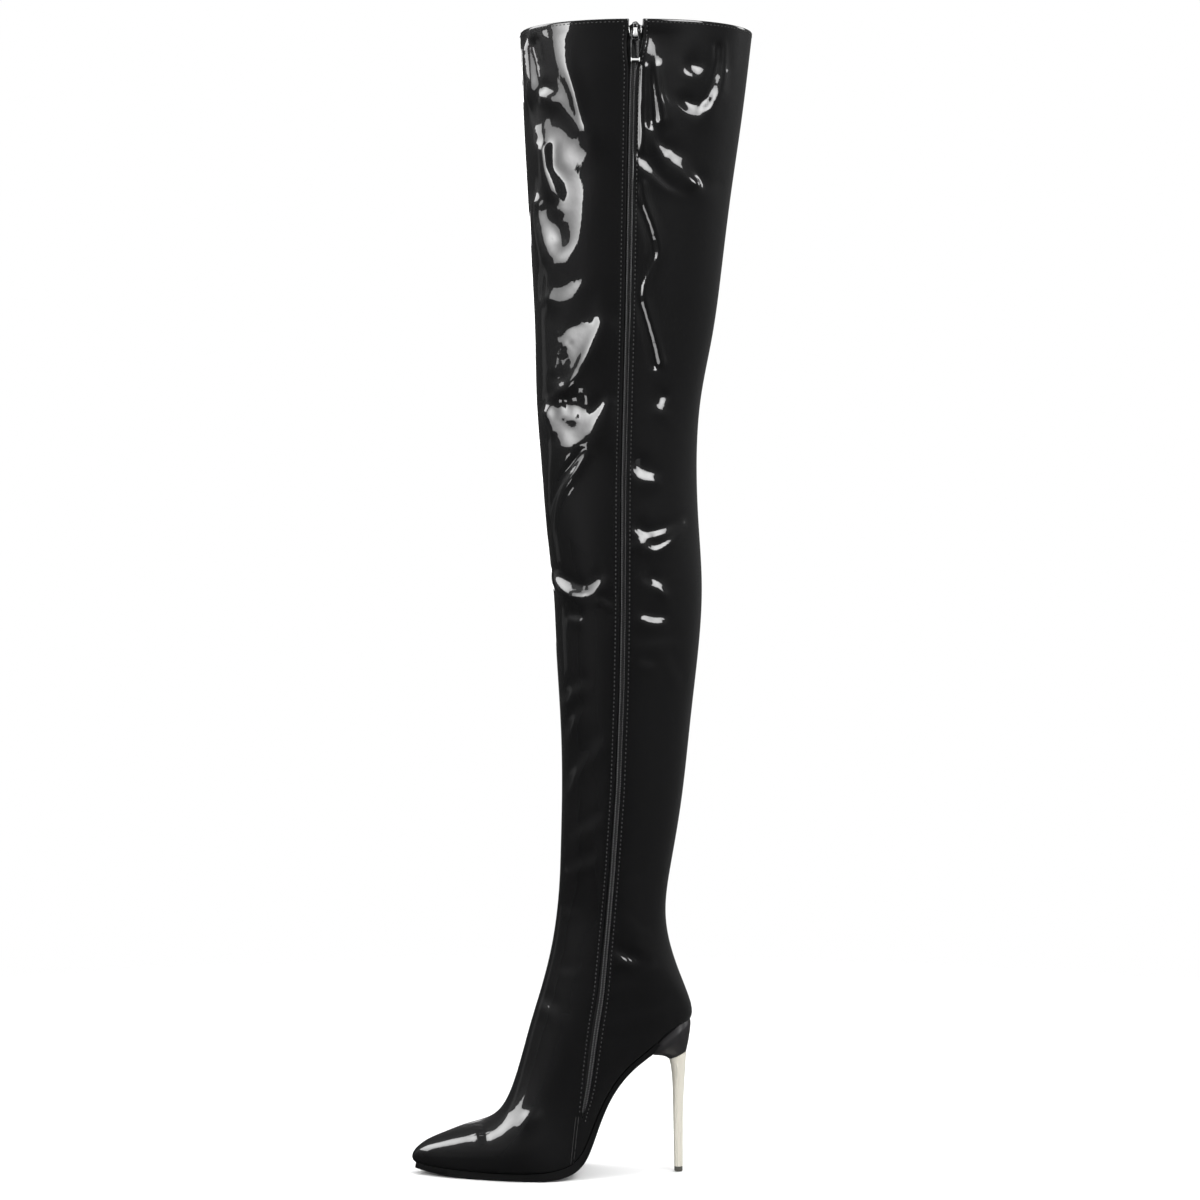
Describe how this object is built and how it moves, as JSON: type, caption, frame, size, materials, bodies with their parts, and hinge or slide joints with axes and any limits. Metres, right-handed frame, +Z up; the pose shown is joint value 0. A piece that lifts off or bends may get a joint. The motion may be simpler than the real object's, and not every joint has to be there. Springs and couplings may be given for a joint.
{
  "type": "over-the-knee boot",
  "caption": "Thigh-high boot with a pointed toe, a steep arch, a slim stiletto heel and a full-length zip up the inner side, for the right foot.",
  "frame": {"origin": "on the floor, under the middle of the heel tip", "axes": "+Z up the shaft, -X towards the toe, -Y towards the zip on the inner side of the leg"},
  "size_m": [0.2649, 0.132, 0.8862],
  "materials": {
    "patent_leather": "black patent, mirror gloss",
    "insole_board": "matt black lining",
    "sole": "satin black",
    "heel_cover": "black gloss",
    "heel_metal": "pale gold plating",
    "heel_tip": "matt dark grey",
    "zip_teeth": "satin black",
    "zip_tape": "black weave",
    "zip_metal": "black gloss"
  },
  "bodies": {
    "boot": {"upper": "patent_leather", "insole": "insole_board", "outsole": "sole", "heel_cover": "heel_cover", "heel_stem": "heel_metal", "heel_tip": "heel_tip", "zip_chain": "zip_teeth", "zip_tape_front": "zip_tape", "zip_tape_back": "zip_tape", "zip_slider": "zip_metal"},
    "pull_tab": {"zip_pull_tab": "zip_metal"}
  },
  "joints": [
    {"name": "pull_tab_swing", "type": "hinge", "parent": "boot", "child": "pull_tab", "pos_m": [-0.03442, -0.06582, 0.87719], "axis": [-1, 0, 0], "range_deg": [0, 170]}
  ]
}
